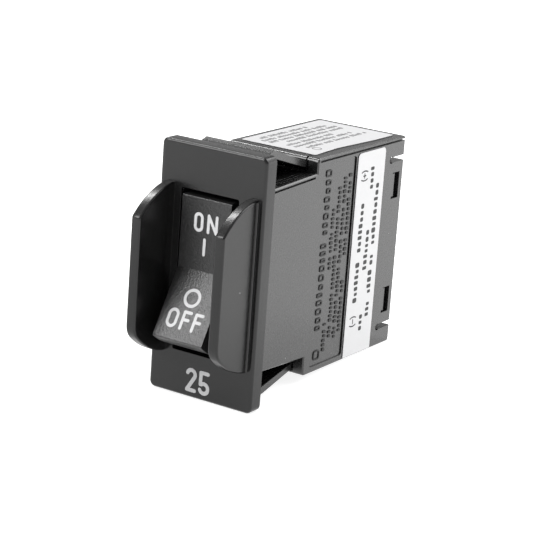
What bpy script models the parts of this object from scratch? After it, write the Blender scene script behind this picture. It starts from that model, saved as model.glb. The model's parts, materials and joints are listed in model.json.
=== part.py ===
"""Single-pole snap-in rocker circuit breaker, hydraulic-magnetic, built as separate pieces.

Frame: the origin is the centre of the panel cut-out, in the plane where the bezel meets the panel.
+X is the side of the removable case cover, +Y runs back into the panel and +Z is up.
All lengths below are millimetres and all angles degrees; MM turns them into Blender's metres.
The rocker stands at ON, with the contacts closed.
"""

import math

import bmesh
import bpy
from mathutils import Matrix, Vector

MM = 0.001
GAP = 0.3          # between neighbours that touch on the real breaker
SLIP = 0.07        # radial clearance of a pin in its bore
THROUGH = 2.0      # how far a cutter runs past the wall it cuts
ROUND = 20         # sides of a small round piece

# Bezel and its two finger guards
BEZEL_HALF_W = 12.08
BEZEL_HALF_H = 25.0
BEZEL_T = 3.26
BEZEL_CORNER = 1.2
BEZEL_EDGE = 0.6
OPENING_X = (-6.95, 6.4)
OPENING_HALF_H = 16.1
OPENING_CORNER = 0.4
GUARD_X = (8.48, 10.67)
GUARD_R = 17.1
GUARD_FRONT = -13.65
GUARD_STEP = -3.9
GUARD_TOP_CORNER = 0.9
GUARD_FOOT_CORNER = 3.6
GUARD_EDGE = 0.42
PLINTH_X = 11.05
PLINTH_Y = -3.9
PLINTH_HALF_H = 16.5
PLINTH_EDGE = 0.3
TAB_X = {-1: (-8.9, -7.8), 1: (6.5, 7.45)}
TAB_Z = (7.0, 12.0)
TAB_REACH = 6.0
SEAT_INNER_X = 10.7
SEAT_INNER_Z = 23.4
SEAT_DEPTH = 0.3     # the rear rim stands this far behind the rest of the back

# Case: a shell open towards +X, and the cover that closes it
CASE_HALF_W = 10.56
PARTING_X = 7.7
WALL = 1.26
NECK_FRONT = 0.0
NECK_HALF_FRONT = 17.9
NECK_HALF_REAR = 18.7
NECK_WALL = 1.3
SHOULDER_Y = 17.06
SHOULDER_T = 3.3
SHOULDER_CORNER = 0.9
CASE_TOP = 21.65
CASE_BOTTOM = -22.59
CASE_REAR = 50.22
NOTCH_Y = 44.4
NOTCH_H = 1.15
NOTCH_KEY_R = 0.75
NOTCH_TOP = 17.2
NOTCH_BOTTOM = -18.5
WINDOW_Y = (46.1, 48.8)
WINDOW_H = 5.5
WINDOW_TOP = 11.65
WINDOW_BOTTOM = -12.9
PANEL_Y = (19.2, 31.3)
PANEL_Z = (-21.35, 20.25)
PANEL_DEPTH = 0.25
PANEL_CORNER = 0.8
GROOVE_DEPTH = 0.8
GROOVE_W = 0.4
TOP_LINE_Z = 20.75        # the lines cut along the cover's top edge and along its neck
NECK_LINE = ((0.0, 17.0), (16.4, 17.8))
NECK_RIB_X = (8.4, 9.1, 9.8)   # thin grooves along the neck, under the latches
NECK_RIB_Y = (1.6, 15.8)
NECK_RIB_W = 0.3
NECK_RIB_DEPTH = 0.2
CATCH_ROOT = (0.1, 1.7)    # where a carrier's catch starts and ends, behind its window's front edge
CATCH_FACE = (0.4, 1.35)
CATCH_SUNK = 0.3           # how far it stops short of the case's side
CATCH_OVERLAP = 0.5

# Rocker, about its own axis, in the middle of its throw
ROCKER_AXIS = (-0.93, 0.0)
ROCKER_HALF_THROW = 15.25
ROCKER_X = (-6.6, 4.8)
ROCKER_R = 15.05
ROCKER_TIP_ANGLE = 114.0
ROCKER_BACK_ANGLE = 81.6
ROCKER_FOLD = -2.58
ROCKER_HUB_R = 3.0
ROCKER_SKIN = 2.0
ROCKER_SIDE = 1.2
ROCKER_EDGE = 0.3
TAIL_X = (-3.1, 1.4)
TAIL_REACH = 8.5
TAIL_R = 1.5
ROCKER_PIN_R = 1.0
EAR_LEFT_X = (-9.9, -7.3)
EAR_RIGHT_X = (5.2, 9.9)
EAR_Y = (-2.4, 5.0)
EAR_HALF_H = 2.5
EAR_CORNER = 1.2
EAR_BORE_END = 9.2         # the pin bores stop this far out, inside the walls
BOSS_BORE_END = 9.1
ARM_BOSS_R = 1.8
TRIP_BOSS_R = 1.5
ARM_BOSS_FACES = (-5.0, 5.7)
TRIP_BOSS_FACES = (-6.5, 6.3)
SHELF = ((30.0, 38.0), (0.8, 2.1))        # under the magnet's yoke
SHELF_FACE = -5.9
BACK_RIB = ((40.6, 42.0), (2.0, 20.6))
FLOOR_RIB = ((37.0, 38.2), (-21.6, -12.0))
RIB_FACE = -7.3
JOIN = 0.5                 # how deep a boss or a rib runs into the wall it grows from

# Contact arm, link and contacts
MID_X = -0.85      # middle of the case's cavity
ARM_AXIS = (27.5, -2.0)
ARM_X = (-2.9, 1.2)
ARM_HUB_R = 1.8
ARM_LEG_Y = (26.9, 28.5)
ARM_FOOT = -14.3
ARM_PIN_R = 0.88
LINK_ARM_R = 3.6
LINK_PIN_R = 0.7
LINK_LEFT_X = (-4.4, -3.3)
LINK_RIGHT_X = (1.6, 2.7)
LINK_EYE_R = 1.5
LINK_SLOT_R = 1.3
LINK_BRIDGE = ((12.0, 16.0), (-5.0, -4.0))
CONTACT_Z = -12.5
CONTACT_R = 1.9
MOVING_CONTACT_Y = (28.8, 30.2)
FIXED_CONTACT_Y = (30.5, 31.3)
FIXED_BAR_Y = (31.6, 33.0)

# Arc chute
ARC_PLATES = 7
ARC_PLATE_Y = 21.6
ARC_PITCH = 2.0
ARC_PLATE_T = 0.8
ARC_PLATE_X = (-6.0, 4.2)
ARC_Z = (-20.8, -15.4)
ARC_NOTCH = 2.6
ARC_BOARD_T = 0.8
ARC_MAGNET = ((-8.9, -7.3), (24.6, 33.0), (-14.0, -5.6))

# Trip magnet
COIL_Z = 11.2
COIL_Y = (26.7, 36.8)
COIL_R = 6.2
COIL_BORE = 3.9
COIL_TURNS = 9
BOBBIN_Y = (25.6, 37.9)
BOBBIN_R = 6.4
BOBBIN_FLANGE = 0.8
BOBBIN_BARREL_R = 3.6
BOBBIN_BORE = 3.0
TUBE_Y = (25.6, 41.2)
TUBE_R = 2.75
TUBE_BORE = 2.25
TUBE_END = 0.5
CORE_Y = (33.6, 40.2)
CORE_R = 2.1
POLE_Y = (24.3, 25.3)
POLE_R = 4.4
POLE_PLUG_R = 2.15
POLE_PLUG_END = 28.3
YOKE_X = (-6.7, 5.0)
YOKE_T = 1.2
YOKE_LEG_Z = (2.4, 3.6)
YOKE_LEG_Y = 23.2
YOKE_BACK_Y = (38.2, 39.6)
YOKE_BACK_TOP = 18.2
YOKE_EAR_T = 0.8
YOKE_EAR_Y = (20.4, 24.4)
YOKE_EAR_FOOT = -0.2
ARMATURE_AXIS = (21.6, 1.6)
ARMATURE_X = (-5.6, 3.9)
ARMATURE_Y = (21.0, 22.2)
ARMATURE_TOP = 16.6
ARMATURE_HUB_R = 1.3
ARMATURE_PIN_R = 0.6
ARMATURE_TAIL_X = (-2.6, 0.9)
ARMATURE_TAIL = (19.6, -0.5)
TRIP_AXIS = (14.5, 4.6)
TRIP_X = (-2.3, 0.6)
TRIP_HUB_R = 1.5
TRIP_FINGER = (18.6, 1.0)
TRIP_NOSE = (13.4, 2.4)
TRIP_TIP_R = 0.7
TRIP_PIN_R = 0.6

# Terminals at the back
CARRIER_X = (-9.12, 7.65)
CARRIER_Y = (42.6, 49.9)
CARRIER_Z = (-21.0, 20.1)
WELL_X = (-7.4, 5.7)
WELL_FLOOR = 44.7
WELL_HALF_H = 5.4
LOAD_Z = 13.7
LINE_Z = -14.2
TERMINAL_X = (-6.0, 4.3)
TERMINAL_Y = (45.0, 46.4)
TERMINAL_HALF_H = 4.7
STRIP_X = (-3.5, 1.8)
STRIP_T = 1.2
CLAMP_HALF = 4.3
CLAMP_Y = (47.0, 48.0)
SCREW_R = 2.3
SCREW_HEAD_R = 3.9
SCREW_Y = (41.9, 49.8)
SCREW_HEAD_Y = 48.1
SCREW_SLOT = (1.1, 0.9)    # the slot's width and depth
SCREW_SLOT_SPAN = 0.62     # how much of the head it crosses

# Snap latches above and below the neck: crest, end of the outer slope, and hinge, as (y, height)
LATCH_HALF_W = 7.9
LATCH_BEAD_R = 0.85
LATCH_GROOVE_R = 1.15
LATCH_TIP_Y = 1.1
LATCH_T = 1.5
LATCH_RAMP = 0.47
LATCH_TEETH = 5
LATCH_TOOTH = 0.2
TOP_LATCH = ((5.14, 24.62), (16.4, 20.9), (17.5, 19.95))
BOTTOM_LATCH = ((5.6, 24.65), (16.4, 21.8), (17.5, 20.85))

# Labels
LABEL_T = 0.1
LABEL_LIFT = 0.05
SIDE_LABEL_Y = (31.8, 42.3)
SIDE_LABEL_Z = (-22.3, 20.5)
TOP_LABEL_X = (-9.3, 8.35)
TOP_LABEL_Y = (19.2, 48.3)
TOP_LABEL_NIP = (28.0, 7.85)
TOP_LABEL_FLARE = (0.4, 7.0)

BLACK = ("black_plastic", (0.022, 0.022, 0.023), 0.42, 0.0)
STEEL = ("steel", (0.55, 0.55, 0.56), 0.35, 1.0)
COPPER = ("copper", (0.72, 0.36, 0.22), 0.35, 1.0)
BRASS = ("brass", (0.78, 0.6, 0.3), 0.3, 1.0)
SILVER = ("silver", (0.86, 0.86, 0.84), 0.3, 1.0)
ENAMEL = ("enamelled_wire", (0.45, 0.16, 0.06), 0.3, 0.0)
NYLON = ("nylon", (0.75, 0.73, 0.68), 0.5, 0.0)
FIBRE = ("fibre_board", (0.42, 0.24, 0.16), 0.7, 0.0)
MAGNET = ("magnet", (0.12, 0.12, 0.13), 0.6, 0.4)
PAPER = ("label_stock", (0.88, 0.88, 0.87), 0.55, 0.0)


# ---------------------------------------------------------------- materials and objects

def clear_scene():
    for obj in list(bpy.data.objects):
        bpy.data.objects.remove(obj, do_unlink=True)


def material(spec):
    name, colour, roughness, metallic = spec
    found = bpy.data.materials.get(name)
    if found:
        return found
    made = bpy.data.materials.new(name)
    made.use_nodes = True
    shader = made.node_tree.nodes["Principled BSDF"]
    shader.inputs["Base Color"].default_value = (*colour, 1.0)
    shader.inputs["Roughness"].default_value = roughness
    shader.inputs["Metallic"].default_value = metallic
    return made


def finish(name, bm, spec):
    """The bmesh, drawn in millimetres, as a named object in metres."""
    bmesh.ops.recalc_face_normals(bm, faces=bm.faces)
    bmesh.ops.scale(bm, vec=(MM, MM, MM), verts=bm.verts)
    mesh = bpy.data.meshes.new(name)
    bm.to_mesh(mesh)
    bm.free()
    mesh.materials.append(material(spec))
    obj = bpy.data.objects.new(name, mesh)
    bpy.context.scene.collection.objects.link(obj)
    return obj


def hide(tool):
    tool.hide_render = True
    tool.display_type = "WIRE"


def combine(obj, operation, tools):
    for tool in tools:
        hide(tool)
        boolean = obj.modifiers.new(operation.lower(), "BOOLEAN")
        boolean.operation = operation
        boolean.solver = "EXACT"
        boolean.object = tool


def cut(obj, *tools):
    combine(obj, "DIFFERENCE", tools)


def join(obj, *tools):
    combine(obj, "UNION", tools)


def set_origin(obj, point):
    """Moves the object's origin to a point in millimetres, leaving its shape where it is."""
    place = Vector(point) * MM
    obj.data.transform(Matrix.Translation(-place))
    obj.location = place


def soften(obj, width, segments, chosen):
    """Rounds the edges whose middle, in millimetres, and unit direction satisfy chosen."""
    bm = bmesh.new()
    bm.from_mesh(obj.data)
    edges = []
    for edge in bm.edges:
        a, b = edge.verts
        middle = (a.co + b.co) / (2.0 * MM)
        along = (b.co - a.co).normalized()
        if chosen(middle, along):
            edges.append(edge)
    bmesh.ops.bevel(bm, geom=edges, offset=width * MM, offset_type="OFFSET", segments=segments,
                    profile=0.5, affect="EDGES", clamp_overlap=False)
    bm.to_mesh(obj.data)
    bm.free()


# ---------------------------------------------------------------- outlines, as lists of 2-D points

def arc(centre, radius, start, end, steps):
    points = []
    for i in range(steps + 1):
        angle = math.radians(start + (end - start) * i / steps)
        points.append((centre[0] + radius * math.cos(angle), centre[1] + radius * math.sin(angle)))
    return points


def box_outline(low, high):
    return [(low[0], low[1]), (high[0], low[1]), (high[0], high[1]), (low[0], high[1])]


def filleted(points, radii, steps=4):
    """The outline with the corners named in radii, {index: radius}, made round."""
    out = []
    for i, point in enumerate(points):
        radius = radii.get(i)
        if not radius:
            out.append(point)
            continue
        here = Vector(point)
        before = (Vector(points[i - 1]) - here).normalized()
        after = (Vector(points[(i + 1) % len(points)]) - here).normalized()
        half = before.angle(after) / 2.0
        centre = here + (before + after).normalized() * (radius / math.sin(half))
        first = here + before * (radius / math.tan(half)) - centre
        last = here + after * (radius / math.tan(half)) - centre
        turn = first.angle_signed(last)
        for k in range(steps + 1):
            spoke = first.copy()
            spoke.rotate(Matrix.Rotation(-turn * k / steps, 2))
            out.append(tuple(centre + spoke))
    return out


def round_box(low, high, radius, steps=4):
    return filleted(box_outline(low, high), dict.fromkeys(range(4), radius), steps)


def capsule(a, radius_a, b, radius_b, steps=8):
    """A bar with round ends about two points."""
    heading = math.degrees(math.atan2(b[1] - a[1], b[0] - a[0]))
    return (arc(a, radius_a, heading + 90, heading + 270, steps)
            + arc(b, radius_b, heading - 90, heading + 90, steps))


def turned(points, angle):
    """Points about the origin, turned the way a hinge about +X turns (y, z)."""
    c, s = math.cos(math.radians(angle)), math.sin(math.radians(angle))
    return [(y * c - z * s, y * s + z * c) for y, z in points]


def shifted(points, by):
    return [(a + by[0], b + by[1]) for a, b in points]


# ---------------------------------------------------------------- solids

def extrusion(name, axis, outline, low, high, spec=BLACK):
    """A closed outline pushed along an axis: (y, z) along X, (x, z) along Y, (x, y) along Z."""
    place = {
        "X": lambda p, t: (t, p[0], p[1]),
        "Y": lambda p, t: (p[0], t, p[1]),
        "Z": lambda p, t: (p[0], p[1], t),
    }[axis]
    bm = bmesh.new()
    near = [bm.verts.new(place(p, low)) for p in outline]
    far = [bm.verts.new(place(p, high)) for p in outline]
    bm.faces.new(near)
    bm.faces.new(far)
    for i in range(len(outline)):
        j = (i + 1) % len(outline)
        bm.faces.new((near[i], near[j], far[j], far[i]))
    return finish(name, bm, spec)


def block(name, xs, ys, zs, spec=BLACK):
    return extrusion(name, "X", box_outline((ys[0], zs[0]), (ys[1], zs[1])), xs[0], xs[1], spec)


def rod(name, axis, centre, radius, low, high, spec=STEEL, sides=ROUND):
    """A cylinder along an axis; centre holds its other two coordinates in X, Y, Z order."""
    circle = arc(centre, radius, 0, 360 * (sides - 1) / sides, sides - 1)
    return extrusion(name, axis, circle, low, high, spec)


def turning(name, profile, spec, sides=24, x=MID_X, z=COIL_Z):
    """A profile of (radius, y) points turned about a line along Y; the profile is closed."""
    bm = bmesh.new()
    rings = []
    for radius, y in profile:
        if radius == 0:
            rings.append([bm.verts.new((x, y, z))] * sides)
            continue
        ring = []
        for i in range(sides):
            angle = math.tau * i / sides
            ring.append(bm.verts.new((x + radius * math.cos(angle), y, z + radius * math.sin(angle))))
        rings.append(ring)
    for a, b in zip(rings, rings[1:] + rings[:1]):
        for i in range(sides):
            j = (i + 1) % sides
            corners = list(dict.fromkeys((a[i], a[j], b[j], b[i])))
            if len(corners) > 2:
                bm.faces.new(corners)
    return finish(name, bm, spec)


def wire(name, points, radius, spec, sides=2):
    """Round wire along a line of points, as a bevelled curve with closed ends."""
    curve = bpy.data.curves.new(name, "CURVE")
    curve.dimensions = "3D"
    curve.bevel_depth = radius * MM
    curve.bevel_resolution = sides
    curve.use_fill_caps = True
    spline = curve.splines.new("POLY")
    spline.points.add(len(points) - 1)
    for slot, point in zip(spline.points, points):
        slot.co = (*(Vector(point) * MM), 1.0)
    curve.materials.append(material(spec))
    obj = bpy.data.objects.new(name, curve)
    bpy.context.scene.collection.objects.link(obj)
    return obj


def smooth_route(points, steps=5):
    """A Catmull-Rom curve through the points."""
    knots = [Vector(p) for p in points]
    knots = [2 * knots[0] - knots[1]] + knots + [2 * knots[-1] - knots[-2]]
    route = []
    for a, b, c, d in zip(knots, knots[1:], knots[2:], knots[3:]):
        for i in range(steps):
            t = i / steps
            route.append(0.5 * (2 * b + (c - a) * t + (2 * a - 5 * b + 4 * c - d) * t * t
                                + (3 * b - a - 3 * c + d) * t ** 3))
    return route + [knots[-2]]


def torsion_spring(name, axis, xs, radius, thickness, turns, legs):
    """A coil about a line along X, with a straight leg at each end, legs = (first, last) lengths."""
    per_turn = 14
    count = turns * per_turn + per_turn // 2
    coil = []
    for i in range(count + 1):
        angle = math.tau * i / per_turn
        x = xs[0] + (xs[1] - xs[0]) * i / count
        coil.append(Vector((x, axis[0] + radius * math.cos(angle), axis[1] + radius * math.sin(angle))))
    first = coil[0] + Vector((0.0, 0.0, -legs[0]))
    last = coil[-1] + Vector((0.0, 0.0, legs[1]))
    return wire(name, [first] + coil + [last], thickness, STEEL, 1)


# ---------------------------------------------------------------- bezel

def guard_outline():
    """A guard's side view: a disc about the rocker's axis, cut off straight in front."""
    end = math.degrees(math.acos((GUARD_STEP - ROCKER_AXIS[0]) / GUARD_R))
    halves = []
    for corner in (GUARD_TOP_CORNER, GUARD_FOOT_CORNER):
        centre_y = GUARD_FRONT + corner
        centre_z = math.sqrt((GUARD_R - corner) ** 2 - (centre_y - ROCKER_AXIS[0]) ** 2)
        tangent = math.degrees(math.atan2(centre_z, centre_y - ROCKER_AXIS[0]))
        halves.append(arc(ROCKER_AXIS, GUARD_R, end, tangent, 14)
                      + arc((centre_y, centre_z), corner, tangent, 180, 7)[1:])
    top, foot = halves
    outline = top + [(y, -z) for y, z in reversed(foot)]
    root = -BEZEL_T + 1.0
    return [(root, top[0][1])] + outline + [(root, -top[0][1])]


def make_bezel():
    outline = round_box((-BEZEL_HALF_W, -BEZEL_HALF_H), (BEZEL_HALF_W, BEZEL_HALF_H), BEZEL_CORNER, 5)
    plate = extrusion("bezel", "Y", outline, -BEZEL_T, 0.0)
    soften(plate, BEZEL_EDGE, 3, lambda m, d: m.y < -BEZEL_T + 0.01)
    cut(plate, block("seat_recess_tool", (-SEAT_INNER_X, SEAT_INNER_X), (-SEAT_DEPTH, THROUGH),
                     (-SEAT_INNER_Z, SEAT_INNER_Z)))
    for side in (-1, 1):
        low, high = sorted(side * x for x in GUARD_X)
        guard = extrusion(f"guard_tool{side}", "X", guard_outline(), low, high)
        soften(guard, GUARD_EDGE, 3, lambda m, d: m.y < -BEZEL_T + 0.9 and abs(d.x) < 0.5)
        low, high = sorted((side * (GUARD_X[1] - 0.5), side * PLINTH_X))
        plinth = block(f"plinth_tool{side}", (low, high), (PLINTH_Y, -1.0), (-PLINTH_HALF_H, PLINTH_HALF_H))
        soften(plinth, PLINTH_EDGE, 2, lambda m, d: abs(m.x) > PLINTH_X - 0.01 and m.y < PLINTH_Y + 0.01)
        join(plate, guard, plinth)
        for end in (-1, 1):
            low, high = sorted((end * TAB_Z[0], end * TAB_Z[1]))
            join(plate, block(f"tab_tool{side}{end}", TAB_X[side], (-1.0, TAB_REACH), (low, high)))
    opening = round_box((OPENING_X[0], -OPENING_HALF_H), (OPENING_X[1], OPENING_HALF_H), OPENING_CORNER)
    cut(plate, extrusion("opening_tool", "Y", opening, -BEZEL_T - THROUGH, THROUGH))
    ear_room = (EAR_Y[0] - GAP, THROUGH)
    ear_zs = (-EAR_HALF_H - GAP, EAR_HALF_H + GAP)
    cut(plate, block("ear_room_left_tool", (EAR_LEFT_X[0] - GAP, OPENING_X[0] + 1.0), ear_room, ear_zs),
        block("ear_room_right_tool", (OPENING_X[1] - 1.0, EAR_RIGHT_X[1] + GAP), ear_room, ear_zs))


# ---------------------------------------------------------------- case

def case_outline():
    points = [
        (NECK_FRONT, NECK_HALF_FRONT), (SHOULDER_Y, NECK_HALF_REAR), (SHOULDER_Y, CASE_TOP),
        (CASE_REAR, CASE_TOP), (CASE_REAR, CASE_BOTTOM), (SHOULDER_Y, CASE_BOTTOM),
        (SHOULDER_Y, -NECK_HALF_REAR), (NECK_FRONT, -NECK_HALF_FRONT),
    ]
    return filleted(points, {2: SHOULDER_CORNER, 3: 0.3, 4: 0.3, 5: SHOULDER_CORNER})


def cavity_outline():
    """The space inside both halves, open at the front of the neck and at the back."""
    inner = SHOULDER_Y + SHOULDER_T
    front, back = NECK_FRONT - THROUGH, CASE_REAR + THROUGH
    top, bottom = CASE_TOP - NECK_WALL, CASE_BOTTOM + NECK_WALL
    high, low = NECK_HALF_FRONT - NECK_WALL, NECK_HALF_REAR - NECK_WALL
    return [(front, high), (inner, low), (inner, top), (back, top),
            (back, bottom), (inner, bottom), (inner, -low), (front, -high)]


def latch_grooves(name):
    """The round seats, across both halves, where the latches hinge."""
    half = LATCH_HALF_W + GAP
    (_, _, top), (_, _, bottom) = TOP_LATCH, BOTTOM_LATCH
    return [
        rod(f"{name}_groove_top", "X", top, LATCH_GROOVE_R, -half, half),
        rod(f"{name}_groove_bottom", "X", (bottom[0], -bottom[1]), LATCH_GROOVE_R, -half, half),
    ]


def side_openings(name, low, high):
    """Two slots from the back edge and two catch windows, through a side wall from low to high."""
    tools = []
    for label, z in (("top", NOTCH_TOP), ("bottom", NOTCH_BOTTOM)):
        slot_y = (NOTCH_Y + NOTCH_KEY_R, CASE_REAR + THROUGH)
        tools.append(block(f"{name}_slot_{label}", (low, high), slot_y, (z - NOTCH_H / 2, z + NOTCH_H / 2)))
        tools.append(rod(f"{name}_key_{label}", "X", (NOTCH_Y + NOTCH_KEY_R, z), NOTCH_KEY_R, low, high))
    for label, z in (("top", WINDOW_TOP), ("bottom", WINDOW_BOTTOM)):
        tools.append(block(f"{name}_window_{label}", (low, high), WINDOW_Y,
                           (z - WINDOW_H / 2, z + WINDOW_H / 2)))
    return tools


def neck_height(y):
    """Half the neck's height, which grows towards the shoulder."""
    slope = (NECK_HALF_REAR - NECK_HALF_FRONT) / (SHOULDER_Y - NECK_FRONT)
    return NECK_HALF_FRONT + slope * (y - NECK_FRONT)


def neck_ribs(name, side):
    """Cutters for the fine grooves along the neck's top and bottom, on one side of the case."""
    front, back = NECK_RIB_Y
    tools = []
    for end in (-1, 1):
        outline = [(front, neck_height(front) - NECK_RIB_DEPTH), (back, neck_height(back) - NECK_RIB_DEPTH),
                   (back, neck_height(back) + THROUGH), (front, neck_height(front) + THROUGH)]
        outline = [(y, end * z) for y, z in outline]
        for i, x in enumerate(NECK_RIB_X):
            low, high = sorted((side * x, side * (x + NECK_RIB_W)))
            tools.append(extrusion(f"{name}_rib_tool_{end}_{i}", "X", outline, low, high))
    return tools


def boss_with_bore(name, axis, radius, bore, low, high, open_low, open_high):
    """A boss to join to a wall, and the bore to cut in it."""
    boss = rod(f"{name}_boss", "X", axis, radius, low, high)
    hole = rod(f"{name}_bore", "X", axis, bore, open_low, open_high)
    return boss, hole


def rocker_ear(name, xs, bore_xs):
    """The lug that carries one end of the rocker's pin, ahead of the neck."""
    outline = filleted(box_outline((EAR_Y[0], -EAR_HALF_H), (EAR_Y[1], EAR_HALF_H)),
                       {0: EAR_CORNER, 3: EAR_CORNER})
    ear = extrusion(f"{name}_ear", "X", outline, *xs)
    hole = rod(f"{name}_ear_bore", "X", ROCKER_AXIS, ROCKER_PIN_R + SLIP, *bore_xs)
    return ear, hole


def make_case_shell():
    wall = -CASE_HALF_W
    inner = wall + WALL
    shell = extrusion("case_shell", "X", case_outline(), wall, PARTING_X - GAP / 2)
    cut(shell, extrusion("shell_cavity_tool", "X", cavity_outline(), inner, PARTING_X + THROUGH))
    root = inner - JOIN
    arm, arm_hole = boss_with_bore("shell_arm", ARM_AXIS, ARM_BOSS_R, ARM_PIN_R + SLIP,
                                   root, ARM_BOSS_FACES[0], -BOSS_BORE_END, ARM_BOSS_FACES[0] + THROUGH)
    trip, trip_hole = boss_with_bore("shell_trip", TRIP_AXIS, TRIP_BOSS_R, TRIP_PIN_R + SLIP,
                                     root, TRIP_BOSS_FACES[0], -BOSS_BORE_END, TRIP_BOSS_FACES[0] + THROUGH)
    ear, ear_hole = rocker_ear("shell", EAR_LEFT_X, (-EAR_BORE_END, EAR_LEFT_X[1] + THROUGH))
    shelf = block("shell_shelf", (root, SHELF_FACE), *SHELF)
    rib = block("shell_rib", (root, RIB_FACE), *BACK_RIB)
    floor_rib = block("shell_floor_rib", (root, RIB_FACE), *FLOOR_RIB)
    join(shell, arm, trip, ear, shelf, rib, floor_rib)
    cut(shell, arm_hole, trip_hole, ear_hole, *latch_grooves("shell"), *neck_ribs("shell", -1),
        *side_openings("shell", wall - THROUGH, inner + JOIN))


def make_case_cover():
    inner = PARTING_X + GAP / 2
    cover = extrusion("case_cover", "X", case_outline(), inner, CASE_HALF_W)
    soften(cover, 0.25, 1, lambda m, d: m.x > CASE_HALF_W - 0.01 and m.y > NECK_FRONT + 0.1)
    root = inner + JOIN
    arm, arm_hole = boss_with_bore("cover_arm", ARM_AXIS, ARM_BOSS_R, ARM_PIN_R + SLIP,
                                   ARM_BOSS_FACES[1], root, ARM_BOSS_FACES[1] - THROUGH, BOSS_BORE_END)
    trip, trip_hole = boss_with_bore("cover_trip", TRIP_AXIS, TRIP_BOSS_R, TRIP_PIN_R + SLIP,
                                     TRIP_BOSS_FACES[1], root, TRIP_BOSS_FACES[1] - THROUGH, BOSS_BORE_END)
    ear, ear_hole = rocker_ear("cover", EAR_RIGHT_X, (EAR_RIGHT_X[0] - THROUGH, EAR_BORE_END))
    join(cover, arm, trip, ear)
    outside = CASE_HALF_W + THROUGH
    panel = extrusion("cover_panel_tool", "X",
                      round_box((PANEL_Y[0], PANEL_Z[0]), (PANEL_Y[1], PANEL_Z[1]), PANEL_CORNER),
                      CASE_HALF_W - PANEL_DEPTH, outside)
    edge = block("cover_edge_tool", (CASE_HALF_W - GROOVE_DEPTH, outside),
                 (PANEL_Y[1] - GROOVE_W, PANEL_Y[1]), (PANEL_Z[0] + 0.3, PANEL_Z[1] - 0.3))
    top_line = block("cover_top_line_tool", (CASE_HALF_W - GROOVE_DEPTH, outside),
                     (SHOULDER_Y + 0.8, CASE_REAR + THROUGH), (TOP_LINE_Z, TOP_LINE_Z + GROOVE_W))
    (_, start), (end_y, end) = NECK_LINE
    line = [(-THROUGH, start), (end_y, end), (end_y, end + GROOVE_W), (-THROUGH, start + GROOVE_W)]
    neck_line = extrusion("cover_neck_line_tool", "X", line, CASE_HALF_W - GROOVE_DEPTH, outside)
    cut(cover, arm_hole, trip_hole, ear_hole, panel, edge, top_line, neck_line, *latch_grooves("cover"),
        *neck_ribs("cover", 1), *side_openings("cover", inner - JOIN, outside))


# ---------------------------------------------------------------- rocker and its linkage

def rocker_side_outline():
    """The rocker's side, with its fold in front and round ends, in the middle of its throw."""
    end = arc((0, 0), ROCKER_R, ROCKER_BACK_ANGLE, ROCKER_TIP_ANGLE, 10)
    upper = [(ROCKER_HUB_R, ROCKER_HUB_R)] + end
    lower = [(y, -z) for y, z in reversed(upper)]
    return upper + [(ROCKER_FOLD, 0.0)] + lower


def rocker_hollow_outline():
    """The upper hollow behind the rocker's face."""
    slope = math.radians(ROCKER_TIP_ANGLE)
    tip = (ROCKER_R * math.cos(slope), ROCKER_R * math.sin(slope))
    run = Vector((ROCKER_FOLD - tip[0], -tip[1])).normalized()
    skin = Vector((-run.y, run.x)) * ROCKER_SKIN
    high = Vector(tip) + skin + run * 1.4
    low = Vector((ROCKER_FOLD, 0.0)) + skin - run * (ROCKER_HUB_R + 0.6)
    back = ROCKER_HUB_R + THROUGH
    return [tuple(high), tuple(low), (back, low.y), (back, high.y)]


def at_rocker(name):
    """An empty on the rocker's axis, turned to the ON position."""
    empty = bpy.data.objects.new(name, None)
    empty.location = Vector((0.0, *ROCKER_AXIS)) * MM
    empty.rotation_euler.x = math.radians(-ROCKER_HALF_THROW)
    bpy.context.scene.collection.objects.link(empty)
    return empty


def make_rocker():
    axis = at_rocker("rocker_axis")
    rocker = extrusion("rocker", "X", rocker_side_outline(), *ROCKER_X)
    tip_z = ROCKER_R * math.sin(math.radians(ROCKER_TIP_ANGLE))
    soften(rocker, ROCKER_EDGE, 2, lambda m, d: abs(abs(m.z) - tip_z) < 0.05 and abs(d.x) > 0.9)
    inside = (ROCKER_X[0] + ROCKER_SIDE, ROCKER_X[1] - ROCKER_SIDE)
    hollow = extrusion("rocker_hollow_top", "X", rocker_hollow_outline(), *inside)
    lower = extrusion("rocker_hollow_bottom", "X", [(y, -z) for y, z in rocker_hollow_outline()], *inside)
    tail = extrusion("rocker_tail", "X", capsule((0, 0), TAIL_R, (TAIL_REACH, 0), TAIL_R), *TAIL_X)
    bore = rod("rocker_bore", "X", (0, 0), ROCKER_PIN_R + SLIP, ROCKER_X[0] - THROUGH, ROCKER_X[1] + THROUGH)
    eye = rod("rocker_eye", "X", (TAIL_REACH, 0), LINK_PIN_R + SLIP, TAIL_X[0] - THROUGH, TAIL_X[1] + THROUGH)
    pin = rod("handle_link_pin", "X", (TAIL_REACH, 0), LINK_PIN_R,
              LINK_LEFT_X[0] - GAP, LINK_RIGHT_X[1] + GAP)
    cut(rocker, hollow, lower)
    join(rocker, tail)
    cut(rocker, bore, eye)
    for piece in (rocker, hollow, lower, tail, bore, eye, pin):
        piece.parent = axis
    rod("rocker_pin", "X", ROCKER_AXIS, ROCKER_PIN_R, -9.0, 8.6)


def tail_eye():
    """Where the link meets the rocker's tail, at ON."""
    return shifted(turned([(TAIL_REACH, 0.0)], -ROCKER_HALF_THROW), ROCKER_AXIS)[0]


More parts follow.
